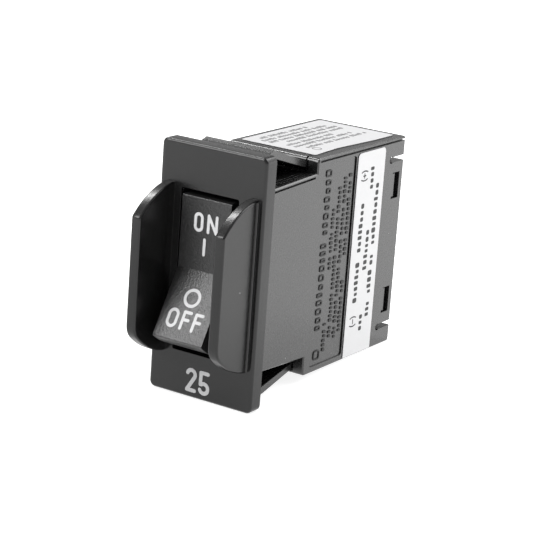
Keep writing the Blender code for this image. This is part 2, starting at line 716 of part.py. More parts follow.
def make_link():
    start = tail_eye()
    end = (ARM_AXIS[0], ARM_AXIS[1] - LINK_ARM_R)
    bar = capsule(start, LINK_EYE_R, end, LINK_EYE_R + 0.4)
    link = extrusion("link", "X", bar, *LINK_LEFT_X, STEEL)
    other = extrusion("link_other_plate", "X", bar, *LINK_RIGHT_X, STEEL)
    bridge = block("link_bridge", (LINK_LEFT_X[0] + 0.2, LINK_RIGHT_X[1] - 0.2), *LINK_BRIDGE)
    span = (LINK_LEFT_X[0] - THROUGH, LINK_RIGHT_X[1] + THROUGH)
    join(link, other, bridge)
    cut(link, rod("link_eye", "X", start, LINK_PIN_R + SLIP, *span),
        rod("link_slot", "X", end, LINK_SLOT_R, *span))
    set_origin(link, (MID_X, *start))


def make_contact_arm():
    pin = (ARM_AXIS[0], ARM_AXIS[1] - LINK_ARM_R)
    arm = rod("contact_arm", "X", ARM_AXIS, ARM_HUB_R, *ARM_X, COPPER)
    leg = block("arm_leg", ARM_X, ARM_LEG_Y, (ARM_FOOT, ARM_AXIS[1]))
    join(arm, leg)
    span = (ARM_X[0] - THROUGH, ARM_X[1] + THROUGH)
    eye = rod("arm_eye", "X", pin, LINK_PIN_R + 0.3, ARM_X[0] - THROUGH, ARM_X[1] + THROUGH)
    pad = rod("arm_pad", "X", pin, LINK_PIN_R + 1.0, *ARM_X)
    join(arm, pad)
    cut(arm, rod("arm_bore", "X", ARM_AXIS, ARM_PIN_R + SLIP, *span), eye)
    set_origin(arm, (MID_X, *ARM_AXIS))
    rod("arm_pin", "X", ARM_AXIS, ARM_PIN_R, -8.8, 7.4)
    link_pin = rod("arm_link_pin", "X", pin, LINK_PIN_R, LINK_LEFT_X[0] - 0.3, LINK_RIGHT_X[1] + 0.8)
    moving = rod("moving_contact", "Y", (MID_X, CONTACT_Z), CONTACT_R, *MOVING_CONTACT_Y, SILVER)
    for piece in (link_pin, moving):
        set_origin(piece, (MID_X, *ARM_AXIS))
    rod("fixed_contact", "Y", (MID_X, CONTACT_Z), CONTACT_R, *FIXED_CONTACT_Y, SILVER)
    torsion_spring("arm_spring", ARM_AXIS, (3.2, 5.1), 1.6, 0.25, 3, (4.6, 4.2))


def make_braid():
    """The flexible lead from above the contact arm's hub, round the left side, to the start of the coil."""
    route = [(-0.9, 27.6, 0.95), (-3.5, 27.6, 0.95), (-6.3, 27.3, 1.1), (-8.0, 27.0, 2.8),
             (-8.15, 27.6, 5.8), (-8.15, 29.6, 8.6)]
    wire("braid", smooth_route(route), 0.75, COPPER)


# ---------------------------------------------------------------- arc chute

def make_arc_chute():
    left, right = ARC_PLATE_X
    low, high = ARC_Z
    notched = [(left, low), (right, low), (right, high), (MID_X + ARC_NOTCH / 2, high),
               (MID_X, high - ARC_NOTCH), (MID_X - ARC_NOTCH / 2, high), (left, high)]
    for i in range(ARC_PLATES):
        y = ARC_PLATE_Y + i * ARC_PITCH
        extrusion(f"arc_plate_{i + 1}", "Y", notched, y, y + ARC_PLATE_T, STEEL)
    ys = (ARC_PLATE_Y - 0.6, ARC_PLATE_Y + ARC_PLATES * ARC_PITCH)
    zs = (low - 0.2, high + 0.6)
    block("arc_board_left", (left - GAP - ARC_BOARD_T, left - GAP), ys, zs, FIBRE)
    block("arc_board_right", (right + GAP, right + GAP + ARC_BOARD_T), ys, zs, FIBRE)
    magnet = block("arc_magnet", *ARC_MAGNET, MAGNET)
    soften(magnet, 0.3, 1, lambda m, d: True)


# ---------------------------------------------------------------- trip magnet

def make_coil():
    pitch = (COIL_Y[1] - COIL_Y[0]) / COIL_TURNS
    valley = COIL_R - 0.35
    profile = [(COIL_BORE, COIL_Y[0]), (valley, COIL_Y[0])]
    for i in range(COIL_TURNS):
        start = COIL_Y[0] + i * pitch
        profile += [(COIL_R, start + 0.3 * pitch), (COIL_R, start + 0.7 * pitch), (valley, start + pitch)]
    turning("coil", profile + [(COIL_BORE, COIL_Y[1])], ENAMEL)
    lead = [(-3.0, 33.0, 17.75), (-3.0, 34.6, 18.5), (-3.0, 36.4, 19.15), (-3.0, 39.0, 19.25),
            (-3.0, 41.8, 19.25)]
    wire("coil_lead", smooth_route(lead, 4), 0.5, ENAMEL)


def make_bobbin():
    front, back = BOBBIN_Y
    turning("bobbin", [
        (BOBBIN_BORE, front), (BOBBIN_R, front), (BOBBIN_R, front + BOBBIN_FLANGE),
        (BOBBIN_BARREL_R, front + BOBBIN_FLANGE), (BOBBIN_BARREL_R, back - BOBBIN_FLANGE),
        (BOBBIN_R, back - BOBBIN_FLANGE), (BOBBIN_R, back), (BOBBIN_BORE, back)], NYLON)


def make_delay_tube():
    front, back = TUBE_Y
    turning("delay_tube", [
        (TUBE_BORE, front), (TUBE_R, front), (TUBE_R, back - 0.8), (TUBE_R - 0.8, back), (0, back),
        (0, back - TUBE_END), (TUBE_BORE, back - TUBE_END)], BRASS, 20)
    low, high = CORE_Y
    core = turning("delay_core", [(0, low), (CORE_R - 0.3, low), (CORE_R, low + 0.3),
                                  (CORE_R, high - 0.3), (CORE_R - 0.3, high), (0, high)], STEEL, 20)
    set_origin(core, (MID_X, low, COIL_Z))
    turning("pole_piece", [
        (0, POLE_Y[0]), (POLE_R, POLE_Y[0]), (POLE_R, POLE_Y[1]), (POLE_PLUG_R, POLE_Y[1]),
        (POLE_PLUG_R, POLE_PLUG_END), (0, POLE_PLUG_END)], STEEL, 20)
    per_turn, turns = 12, 4
    points = []
    for i in range(turns * per_turn + 1):
        angle = math.tau * i / per_turn
        y = POLE_PLUG_END + 0.5 + (CORE_Y[0] - POLE_PLUG_END - 1.0) * i / (turns * per_turn)
        points.append((MID_X + 1.5 * math.cos(angle), y, COIL_Z + 1.5 * math.sin(angle)))
    wire("core_spring", points, 0.2, STEEL, 1)


def make_yoke():
    back = block("yoke", YOKE_X, YOKE_BACK_Y, (YOKE_LEG_Z[0], YOKE_BACK_TOP), STEEL)
    leg = block("yoke_leg", YOKE_X, (YOKE_LEG_Y, YOKE_BACK_Y[0] + 0.5), YOKE_LEG_Z)
    join(back, leg)
    for label, low, high in (("left", YOKE_X[0], YOKE_X[0] + YOKE_EAR_T),
                             ("right", YOKE_X[1] - YOKE_EAR_T, YOKE_X[1])):
        join(back, block(f"yoke_ear_{label}", (low, high), YOKE_EAR_Y, (YOKE_EAR_FOOT, YOKE_LEG_Z[1])))
    cut(back, rod("yoke_hole", "Y", (MID_X, COIL_Z), TUBE_R + GAP, YOKE_BACK_Y[0] - THROUGH,
                  YOKE_BACK_Y[1] + THROUGH),
        rod("yoke_pin_hole", "X", ARMATURE_AXIS, ARMATURE_PIN_R + SLIP, YOKE_X[0] - 1.0, YOKE_X[1] + 1.0))


def make_armature():
    plate = block("armature", ARMATURE_X, ARMATURE_Y, (ARMATURE_AXIS[1], ARMATURE_TOP), STEEL)
    hub = rod("armature_hub", "X", ARMATURE_AXIS, ARMATURE_HUB_R, *ARMATURE_X)
    tail = extrusion("armature_tail", "X", capsule(ARMATURE_AXIS, 0.9, ARMATURE_TAIL, 0.5), *ARMATURE_TAIL_X)
    join(plate, hub, tail)
    cut(plate, rod("armature_bore", "X", ARMATURE_AXIS, ARMATURE_PIN_R + SLIP,
                   ARMATURE_X[0] - 1.0, ARMATURE_X[1] + 1.0))
    set_origin(plate, (MID_X, *ARMATURE_AXIS))
    rod("armature_pin", "X", ARMATURE_AXIS, ARMATURE_PIN_R, -7.0, 7.3)
    torsion_spring("armature_spring", ARMATURE_AXIS, (5.4, 6.8), 1.0, 0.18, 3, (2.2, 3.4))


def make_trip_lever():
    finger = capsule(TRIP_AXIS, TRIP_HUB_R, TRIP_FINGER, TRIP_TIP_R)
    lever = extrusion("trip_lever", "X", finger, *TRIP_X, STEEL)
    nose = extrusion("trip_nose", "X", capsule(TRIP_AXIS, TRIP_HUB_R - 0.3, TRIP_NOSE, TRIP_TIP_R), *TRIP_X)
    join(lever, nose)
    cut(lever, rod("trip_bore", "X", TRIP_AXIS, TRIP_PIN_R + SLIP, TRIP_X[0] - 1.0, TRIP_X[1] + 1.0))
    set_origin(lever, (MID_X, *TRIP_AXIS))
    rod("trip_pin", "X", TRIP_AXIS, TRIP_PIN_R, -8.8, 7.4)


# ---------------------------------------------------------------- terminals

def make_terminal_carrier():
    carrier = block("terminal_carrier", CARRIER_X, CARRIER_Y, CARRIER_Z)
    for label, z in (("load", LOAD_Z), ("line", LINE_Z)):
        well = block(f"{label}_well", WELL_X, (WELL_FLOOR, CARRIER_Y[1] + THROUGH),
                     (z - WELL_HALF_H, z + WELL_HALF_H))
        through_floor = (CARRIER_Y[0] - 1.0, WELL_FLOOR + 1.0)
        screw_room = rod(f"{label}_screw_room", "Y", (MID_X, z), SCREW_R + 0.4, *through_floor)
        inner, outer = strip_z(z)
        slot = block(f"{label}_slot", (STRIP_X[0] - GAP, STRIP_X[1] + GAP), through_floor,
                     (inner - GAP, outer + GAP))
        cut(carrier, well, screw_room, slot)
    for label, z in (("top", WINDOW_TOP), ("bottom", WINDOW_BOTTOM)):
        zs = (z - WINDOW_H / 2 + GAP, z + WINDOW_H / 2 - GAP)
        for side, face in ((1, CARRIER_X[1]), (-1, CARRIER_X[0])):
            root = face - side * CATCH_OVERLAP
            tip = side * (CASE_HALF_W - CATCH_SUNK)
            front = WINDOW_Y[0]
            ramp = [(root, front + CATCH_ROOT[0]), (face + side * 0.1, front + CATCH_FACE[0]),
                    (tip, front + CATCH_FACE[0]), (tip, front + CATCH_FACE[1]),
                    (root, front + CATCH_ROOT[1])]
            join(carrier, extrusion(f"catch_{label}{side}", "Z", ramp, *zs))


def strip_z(z):
    """The flat lead of the terminal centred on z leaves by the terminal's upper edge."""
    return z + TERMINAL_HALF_H - STRIP_T, z + TERMINAL_HALF_H


def make_terminal(label, z, strip_front):
    zs = (z - TERMINAL_HALF_H, z + TERMINAL_HALF_H)
    plate = block(f"{label}_terminal", TERMINAL_X, TERMINAL_Y, zs, COPPER)
    join(plate, block(f"{label}_strip", STRIP_X, (strip_front, TERMINAL_Y[0] + 0.5), strip_z(z)))
    if z < 0:
        join(plate, block(f"{label}_bar", STRIP_X, FIXED_BAR_Y, (CONTACT_Z - 2.4, strip_z(z)[1])))
    middle = (MID_X, z)
    cut(plate, rod(f"{label}_hole", "Y", middle, SCREW_R + SLIP, TERMINAL_Y[0] - 1.0, TERMINAL_Y[1] + 1.0))
    clamp = block(f"{label}_clamp", (MID_X - CLAMP_HALF, MID_X + CLAMP_HALF), CLAMP_Y,
                  (z - CLAMP_HALF, z + CLAMP_HALF), STEEL)
    cut(clamp, rod(f"{label}_clamp_hole", "Y", middle, SCREW_R + 0.2, CLAMP_Y[0] - 1.0, CLAMP_Y[1] + 1.0))
    low, high = SCREW_Y
    screw = turning(f"{label}_screw", [
        (0, low), (SCREW_R - 0.6, low), (SCREW_R, low + 0.6), (SCREW_R, SCREW_HEAD_Y),
        (SCREW_HEAD_R, SCREW_HEAD_Y), (SCREW_HEAD_R, high - 0.5), (SCREW_HEAD_R - 0.6, high), (0, high)],
        STEEL, ROUND, MID_X, z)
    width, depth = SCREW_SLOT
    reach = SCREW_HEAD_R * SCREW_SLOT_SPAN
    for name, half_x, half_z in (("slot", reach, width / 2), ("cross", width / 2, reach)):
        cut(screw, block(f"{label}_screw_{name}", (MID_X - half_x, MID_X + half_x),
                         (high - depth, high + 1.0), (z - half_z, z + half_z)))
    set_origin(screw, (MID_X, SCREW_HEAD_Y, z))


# ---------------------------------------------------------------- latches and labels

def latch_outline(crest, shoulder, hinge):
    """A V-shaped spring catch: a toothed ramp in front of the crest and a lead-in leg behind it."""
    start = (LATCH_TIP_Y, crest[1] - LATCH_RAMP * (crest[0] - LATCH_TIP_Y))
    run = (Vector(crest) - Vector(start)) / LATCH_TEETH
    out = Vector((-run.y, run.x)).normalized() * LATCH_TOOTH
    points = [(LATCH_TIP_Y, start[1] - LATCH_T + 0.3), start]
    for i in range(LATCH_TEETH - 1):
        root = Vector(start) + run * (i + 1)
        points += [tuple(root - run * 0.25 + out), tuple(root)]
    points.append(crest)
    leg = (Vector(shoulder) - Vector(crest)).normalized()
    inward = Vector((leg.y, -leg.x)) * LATCH_T
    points.append(shoulder)
    points += arc(hinge, LATCH_BEAD_R, 100, -150, 9)
    points.append(tuple(Vector(crest) + inward + leg * 0.4))
    return points


def make_latch(name, shape, side):
    outline = [(y, side * z) for y, z in latch_outline(*shape)]
    latch = extrusion(name, "X", outline, -LATCH_HALF_W, LATCH_HALF_W)
    hinge = shape[2]
    set_origin(latch, (0.0, hinge[0], side * hinge[1]))


def make_labels():
    low = CASE_HALF_W + LABEL_LIFT
    corners = filleted(box_outline((SIDE_LABEL_Y[0], SIDE_LABEL_Z[0]), (SIDE_LABEL_Y[1], SIDE_LABEL_Z[1])),
                       {2: 0.9, 3: 0.9})
    extrusion("side_label", "X", corners, low, low + LABEL_T, PAPER)
    (left, right), (front, back) = TOP_LABEL_X, TOP_LABEL_Y
    nip_y, nip_x = TOP_LABEL_NIP
    wide = right + TOP_LABEL_FLARE[0]
    outline = [(left, front), (right, front), (nip_x, nip_y), (wide, back - TOP_LABEL_FLARE[1]),
               (wide, back), (left, back)]
    top = CASE_TOP + LABEL_LIFT
    extrusion("top_label", "Z", filleted(outline, {0: 0.6, 4: 0.6, 5: 0.6}), top, top + LABEL_T, PAPER)


def main():
    clear_scene()
    make_bezel()
    make_case_shell()
    make_case_cover()
    make_rocker()
    make_link()
    make_contact_arm()
    make_braid()
    make_arc_chute()
    make_coil()
    make_bobbin()
    make_delay_tube()
    make_yoke()
    make_armature()
    make_trip_lever()
    make_terminal_carrier()
    make_terminal("load", LOAD_Z, 40.2)
    make_terminal("line", LINE_Z, FIXED_BAR_Y[0])
    make_latch("latch_top", TOP_LATCH, 1)
    make_latch("latch_bottom", BOTTOM_LATCH, -1)
    make_labels()


main()
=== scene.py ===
"""Looks for the snap-in rocker circuit breaker: finishes, legends, moulded lines, labels, light and camera.

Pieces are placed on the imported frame. Places on the breaker are in millimetres, and the stage is in metres.
"""

import json
import math
import random

import bmesh
import bpy
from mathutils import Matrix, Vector
from mathutils.bvhtree import BVHTree


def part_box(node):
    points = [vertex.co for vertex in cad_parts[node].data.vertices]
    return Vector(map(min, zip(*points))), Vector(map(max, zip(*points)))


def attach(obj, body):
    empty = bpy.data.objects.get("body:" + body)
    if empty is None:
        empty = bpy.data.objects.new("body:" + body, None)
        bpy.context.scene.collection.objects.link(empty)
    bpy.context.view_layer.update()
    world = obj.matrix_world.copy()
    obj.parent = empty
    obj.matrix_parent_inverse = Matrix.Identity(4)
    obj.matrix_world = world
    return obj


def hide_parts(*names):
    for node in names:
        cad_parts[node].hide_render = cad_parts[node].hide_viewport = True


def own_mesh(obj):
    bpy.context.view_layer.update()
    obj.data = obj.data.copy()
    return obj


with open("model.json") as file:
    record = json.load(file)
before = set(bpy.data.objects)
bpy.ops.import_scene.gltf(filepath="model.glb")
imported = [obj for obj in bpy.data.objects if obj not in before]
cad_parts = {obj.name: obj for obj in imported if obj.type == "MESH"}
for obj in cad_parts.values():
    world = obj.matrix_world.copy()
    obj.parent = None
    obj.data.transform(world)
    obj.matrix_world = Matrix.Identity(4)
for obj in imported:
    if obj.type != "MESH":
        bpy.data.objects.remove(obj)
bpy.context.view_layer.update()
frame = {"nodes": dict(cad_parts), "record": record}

MM = 0.001
WHITE = (1.0, 1.0, 1.0, 1.0)
COOL = 1.01                # greys are this much bluer than neutral
DUST_TONE = 0.3
DUST_SIZE = 0.045          # radius of a speck, as a share of its cell
DUST_RARITY = 0.56         # the cloud of dust shows only where the noise is above this
INK_T = 0.03               # thickness of printed ink, mm
INK_SUNK = 0.01            # the part of it that lies in the surface, mm
INK_STEP = 0.002           # each stroke of a print stands this much higher than the one before it, mm
PROBE = 60.0               # how far away the probes that find a surface start, mm
SHARPEST_MITRE = 0.35      # keeps a stroke's corner from running out to a spike
ARC_STEPS = 14             # sides along a bend
CAP_STEPS = 8              # sides round a stroke's end


# ---------------------------------------------------------------- node-based finishes

class Finish:
    """A material's node tree, with the Principled shader at hand."""

    MIX_INPUTS = (0, 6, 7)     # a colour mix's factor and its two colours, among its sockets for every type
    MIX_RESULT = 2

    def __init__(self, name):
        self.material = bpy.data.materials.new(name)
        self.material.use_nodes = True
        self.tree = self.material.node_tree
        self.shader = self.tree.nodes["Principled BSDF"]
        self.place = self.add("ShaderNodeTexCoord").outputs["Object"]

    def plug(self, socket, value):
        """Links another node's output to the socket, or sets the socket's constant."""
        if isinstance(value, bpy.types.NodeSocket):
            self.tree.links.new(value, socket)
        else:
            socket.default_value = value

    def add(self, kind, **inputs):
        node = self.tree.nodes.new(kind)
        for key, value in inputs.items():
            self.plug(node.inputs[key.replace("_", " ")], value)
        return node

    def noise(self, scale, detail=4.0, roughness=0.55, stretch=None):
        place = self.place
        if stretch:
            place = self.add("ShaderNodeMapping", Vector=place, Scale=stretch).outputs["Vector"]
        node = self.add("ShaderNodeTexNoise", Vector=place, Scale=scale, Detail=detail, Roughness=roughness)
        return node.outputs["Fac"]

    def cells(self, scale, feature="F1"):
        node = self.add("ShaderNodeTexVoronoi", Vector=self.place, Scale=scale)
        node.feature = feature
        return node.outputs["Distance"]

    def mix(self, factor, a, b):
        node = self.tree.nodes.new("ShaderNodeMix")
        node.data_type = "RGBA"
        for number, value in zip(self.MIX_INPUTS, (factor, a, b)):
            self.plug(node.inputs[number], value)
        return node.outputs[self.MIX_RESULT]

    def maths(self, operation, a, b):
        node = self.add("ShaderNodeMath")
        node.operation = operation
        for socket, value in zip(node.inputs, (a, b)):
            self.plug(socket, value)
        return node.outputs["Value"]

    def spread(self, value, span, start):
        """A 0 to 1 value turned into one that runs over span, starting at start."""
        return self.maths("ADD", self.maths("MULTIPLY", value, span), start)

    def set(self, **sockets):
        for key, value in sockets.items():
            self.plug(self.shader.inputs[key.replace("_", " ")], value)

    def bump(self, height, strength, distance):
        node = self.add("ShaderNodeBump", Height=height, Strength=strength, Distance=distance)
        self.set(Normal=node.outputs["Normal"])


def grey(value):
    return (value, value, value * COOL, 1.0)


def moulded_plastic(name, tone, roughness, grain_scale, grain_depth, gloss=0.5):
    """Black injection-moulded plastic: a fine spark-eroded grain, faint flow marks and a little dust."""
    f = Finish(name)
    flow = f.noise(scale=110.0, detail=3.0, roughness=0.5, stretch=(1.0, 1.0, 0.35))
    body = f.mix(flow, grey(tone * 0.85), grey(tone * 1.2))
    specks = f.maths("MULTIPLY", f.maths("LESS_THAN", f.cells(scale=420.0), DUST_SIZE),
                     f.maths("GREATER_THAN", f.noise(scale=260.0, detail=1.0), DUST_RARITY))
    f.set(Base_Color=f.mix(specks, body, grey(DUST_TONE)),
          Roughness=f.spread(f.noise(scale=900.0), 0.08, roughness - 0.04), Specular_IOR_Level=gloss)
    grain = f.maths("ADD", f.noise(grain_scale, detail=6.0, roughness=0.65),
                    f.maths("MULTIPLY", f.cells(grain_scale * 0.9), 0.5))
    f.bump(grain, strength=0.5, distance=grain_depth)
    return f.material


def leather_grain(name, tone):
    """The rocker's coarse pebbled grain, with painted highlights: its colour is a little lighter on the high
    points.
    """
    f = Finish(name)
    pebbles = f.maths("MULTIPLY", f.cells(scale=2700.0, feature="SMOOTH_F1"), 0.9)
    ridges = f.maths("ADD", pebbles, f.noise(scale=4200.0, detail=2.0, roughness=0.5))
    # painted highlight: the colour follows the grain's height and is lighter on the high points
    f.set(Base_Color=f.mix(ridges, grey(tone * 0.8), grey(tone * 1.35)),
          Roughness=f.spread(f.noise(scale=1500.0), 0.1, 0.27), Specular_IOR_Level=0.66)
    f.bump(ridges, strength=1.0, distance=0.062 * MM)
    return f.material


def metal(name, colour, roughness, stretch=(1.0, 1.0, 1.0), dark=0.8, scale=900.0):
    """Metal with a drawn or rolled grain and some tarnish."""
    f = Finish(name)
    grain = f.noise(scale, detail=5.0, roughness=0.6, stretch=stretch)
    tarnish = f.noise(scale=240.0, detail=3.0)
    tint = (*colour, 1.0)
    shade = tuple(c * dark for c in colour) + (1.0,)
    f.set(Base_Color=f.mix(tarnish, shade, tint), Metallic=1.0,
          Roughness=f.spread(grain, 0.22, roughness - 0.1))
    f.bump(grain, strength=0.25, distance=0.01 * MM)
    return f.material


def matt(name, dark, light, roughness, scale, depth):
    """A non-metal with a mottled colour and a soft surface: nylon, fibre, ferrite."""
    f = Finish(name)
    mottle = f.noise(scale, detail=6.0, roughness=0.7)
    f.set(Base_Color=f.mix(mottle, (*dark, 1.0), (*light, 1.0)),
          Roughness=f.spread(mottle, 0.15, roughness))
    f.bump(mottle, strength=0.4, distance=depth)
    return f.material


def paper(name, tone):
    """White label film with the faintest fibre and a slight sheen."""
    f = Finish(name)
    fibre = f.noise(scale=1600.0, detail=6.0, roughness=0.7)
    f.set(Base_Color=f.mix(fibre, grey(tone), grey(tone * 1.1)),
          Roughness=f.spread(f.noise(scale=500.0), 0.12, 0.42))
    f.bump(fibre, strength=0.15, distance=0.01 * MM)
    return f.material


def ink(name, tone, wear=0.15):
    """Printed ink, thin enough to show the grain under it."""
    f = Finish(name)
    patchy = f.noise(scale=1900.0, detail=5.0, roughness=0.7)
    f.set(Base_Color=f.mix(patchy, grey(tone * (1.0 - wear)), grey(tone)),
          Roughness=f.spread(patchy, 0.2, 0.4), Specular_IOR_Level=0.22)
    f.bump(patchy, strength=0.3, distance=0.015 * MM)
    return f.material


ALONG_X = (0.2, 1.0, 1.0)  # a metal's grain, drawn out along one axis
ALONG_Y = (1.0, 0.2, 1.0)
BEZEL = moulded_plastic("bezel_plastic", tone=0.006, roughness=0.25, grain_scale=3600.0,
                        grain_depth=0.026 * MM, gloss=0.42)
CASE = moulded_plastic("case_plastic", tone=0.008, roughness=0.27, grain_scale=3000.0,
                       grain_depth=0.004 * MM, gloss=0.85)
MARK = moulded_plastic("moulded_marks", tone=0.004, roughness=0.42, grain_scale=3000.0,
                       grain_depth=0.01 * MM, gloss=0.35)
ROCKER = leather_grain("rocker_plastic", tone=0.012)
STEEL = metal("pin_steel", (0.52, 0.52, 0.53), roughness=0.34, stretch=ALONG_X)
SPRING = metal("spring_steel", (0.46, 0.46, 0.47), roughness=0.3)
MAGNET_STEEL = metal("magnet_steel", (0.60, 0.60, 0.58), roughness=0.36, stretch=ALONG_Y)
PLATED = metal("plated_steel", (0.66, 0.66, 0.63), roughness=0.3)
COPPER = metal("copper", (0.78, 0.40, 0.25), roughness=0.32, stretch=(0.3, 1.0, 1.0), dark=0.7)
BRASS = metal("brass", (0.80, 0.62, 0.32), roughness=0.3, stretch=ALONG_Y, dark=0.75)
SILVER = metal("silver", (0.88, 0.88, 0.86), roughness=0.3)
ENAMEL = matt("enamelled_wire", dark=(0.30, 0.08, 0.03), light=(0.52, 0.20, 0.08), roughness=0.22,
              scale=900.0, depth=0.01 * MM)
NYLON = matt("nylon", dark=(0.66, 0.64, 0.58), light=(0.80, 0.78, 0.73), roughness=0.42,
             scale=800.0, depth=0.01 * MM)
FIBRE = matt("fibre_board", dark=(0.30, 0.16, 0.10), light=(0.48, 0.28, 0.19), roughness=0.6,
             scale=1500.0, depth=0.03 * MM)
FERRITE = matt("magnet", dark=(0.07, 0.07, 0.075), light=(0.14, 0.14, 0.15), roughness=0.5,
               scale=2200.0, depth=0.03 * MM)
LABEL = paper("label_stock", tone=0.56)
# painted shade: a darker copy of the label paper for the top label, standing in for the stronger light that
# falls on top
SHADED_TOP_LABEL = paper("top_label_painted_shade", tone=0.49)
WHITE_INK = ink("white_ink", tone=0.68)
GREY_INK = ink("grey_ink", tone=0.42)
BLACK_INK = ink("black_ink", tone=0.05, wear=0.4)
PALE_INK = ink("pale_ink", tone=0.16, wear=0.3)

FINISH_OF_SLOT = {
    "bezel_plastic": BEZEL, "case_plastic": CASE, "rocker_plastic": ROCKER, "pin_steel": STEEL,
    "spring_steel": SPRING, "magnet_steel": MAGNET_STEEL, "plated_steel": PLATED, "copper": COPPER,
    "brass": BRASS, "silver": SILVER, "enamelled_wire": ENAMEL, "nylon": NYLON, "fibre_board": FIBRE,
    "magnet": FERRITE, "label_stock": LABEL,
}
# painted shade: the top label gets the darker copy of the paper
FINISH_OF_NODE = {"top_label": SHADED_TOP_LABEL}
EDGE_ANGLE = 40            # edges sharper than this are rounded, degrees
FOLD_ANGLE = 25            # the same on the rocker, whose fold is shallow
EDGE_OF_NODE = {           # widths of the rounded edges, mm
    "bezel": 0.22, "case_shell": 0.2, "case_cover": 0.2, "rocker": 0.14, "terminal_carrier": 0.15,
    "latch_top": 0.08, "latch_bottom": 0.08, "line_screw": 0.1, "load_screw": 0.1,
}
SMALL_EDGE = 0.05          # the same on the pieces inside, mm
EDGE_STEPS = 3             # facets across a rounded edge
SAME_PLACE = 0.0005        # corners this near to each other are one, mm
SAME_PLANE = 0.4           # faces that turn less than this are one, degrees
BIG_FACE_WEIGHT = 80       # how far a big face's normal wins over its small neighbours', of 100
WIRES = ("arm_spring", "armature_spring", "core_spring", "braid", "coil", "coil_lead")     # no edges


# ---------------------------------------------------------------- CAD nodes

def dress_cad_nodes():
    """Gives every CAD node its finish, rounds its edges and shades it smoothly across its curves."""
    for entry in frame["record"]["subparts"]:
        node = frame["nodes"][entry["node"]]
        finish = FINISH_OF_NODE.get(entry["node"], FINISH_OF_SLOT[entry["material_slot"]])
        node.data.materials.clear()
        node.data.materials.append(finish)
        for polygon in node.data.polygons:
            polygon.use_smooth = True
        weld = node.modifiers.new("weld", "WELD")
        weld.merge_threshold = SAME_PLACE * MM
        flat = node.modifiers.new("planar", "DECIMATE")
        flat.decimate_type = "DISSOLVE"
        flat.angle_limit = math.radians(SAME_PLANE)
        if entry["node"] not in WIRES:
            bevel = node.modifiers.new("edges", "BEVEL")
            bevel.width = EDGE_OF_NODE.get(entry["node"], SMALL_EDGE) * MM
            bevel.segments = EDGE_STEPS
            bevel.limit_method = "ANGLE"
            bevel.angle_limit = math.radians(FOLD_ANGLE if entry["node"] == "rocker" else EDGE_ANGLE)
            bevel.harden_normals = True
            bevel.use_clamp_overlap = True
        normals = node.modifiers.new("normals", "WEIGHTED_NORMAL")
        normals.keep_sharp = True
        normals.weight = BIG_FACE_WEIGHT


dress_cad_nodes()


def live_spring():
    """The delay core's spring as its own smoothed piece riding on the root, in place of the rigid one, which
    is hidden.
    """
    rigid = frame["nodes"]["core_spring"]
    spring = bpy.data.objects.new("core_spring_live", rigid.data.copy())
    bpy.context.scene.collection.objects.link(spring)
    spring.modifiers.new("weld", "WELD").merge_threshold = SAME_PLACE * MM
    rounder = spring.modifiers.new("round", "SUBSURF")
    rounder.levels = rounder.render_levels = 1
    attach(spring, "root")
    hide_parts("core_spring")
    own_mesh(spring)


live_spring()


# ---------------------------------------------------------------- where the prints lie

# How a patch lies when it is seen from one side: the ways along it and up it, in mm, and the way into it.
FROM_FRONT = ((1, 0, 0), (0, 0, 2), (0, 1, 0))
FROM_RIGHT = ((0, 0, 2), (0, -2, 0), (-1, 0, 0))
FROM_ABOVE = ((0, 2, 0), (-2, 0, 0), (0, 0, -1))


class Patch:
    """A flat patch of a CAD node, found by probing its mesh: u runs along it, v up it, w stands off it."""

    def __init__(self, node, at, along, up, inward):
        mesh = frame["nodes"][node].data
        self.tree = BVHTree.FromPolygons([v.co for v in mesh.vertices], [p.vertices for p in mesh.polygons])
        self.inward = Vector(inward)
        self.origin = self.hit(Vector(at))
        self.u = self.tangent(Vector(along))
        self.w = self.u.cross(self.tangent(Vector(up))).normalized()
        self.v = self.w.cross(self.u)

    def hit(self, place):
        return self.tree.ray_cast(place * MM - self.inward * PROBE * MM, self.inward)[0]

    def tangent(self, step):
        here = self.origin / MM
        return (self.hit(here + step) - self.origin).normalized()

    def point(self, u, v, w):
        return self.origin + (self.u * u + self.v * v + self.w * w) * MM


def arc(centre, radius, start, end, steps=ARC_STEPS):
    """Points on a circle, or on an ellipse when radius is a pair. Angles are in degrees."""
    rx, ry = radius if isinstance(radius, tuple) else (radius, radius)
    angles = (math.radians(start + (end - start) * i / steps) for i in range(steps + 1))
    return [(centre[0] + rx * math.cos(a), centre[1] + ry * math.sin(a)) for a in angles]


def stadium(width, height):
    """A tall loop with straight sides and round ends, about the origin."""
    r = width / 2
    h = height / 2 - r
    return arc((0, h), r, 0, 180) + arc((0, -h), r, 180, 360)


def ribbon_outline(path, width, closed):
    """Both edges of a closed stroke along path, or the outline of an open one, which has round ends."""
    points = [Vector(p) for p in path]
    count = len(points)
    sides = []
    for i, p in enumerate(points):
        neighbours = []
        if i or closed:
            neighbours.append((p, points[i - 1]))
        if i < count - 1 or closed:
            neighbours.append((points[(i + 1) % count], p))
        steps = [(end - start).normalized() for end, start in neighbours]
        way = sum(steps, Vector((0.0, 0.0))).normalized()
        reach = width / 2 / max(way.dot(steps[0]), SHARPEST_MITRE)
        sides.append((p + Vector((-way.y, way.x)) * reach, p - Vector((-way.y, way.x)) * reach))
    left, right = [a for a, _ in sides], [b for _, b in sides]
    if closed:
        return left, right
    caps = []
    for tip, inner in ((points[-1], points[-2]), (points[0], points[1])):
        way = tip - inner
        angle = math.degrees(math.atan2(way.y, way.x))
        caps.append([Vector(p) for p in arc(tip, width / 2, angle - 90, angle + 90, CAP_STEPS)])
    end, start = caps
    return right[1:-1] + end + left[-2:0:-1] + start, None


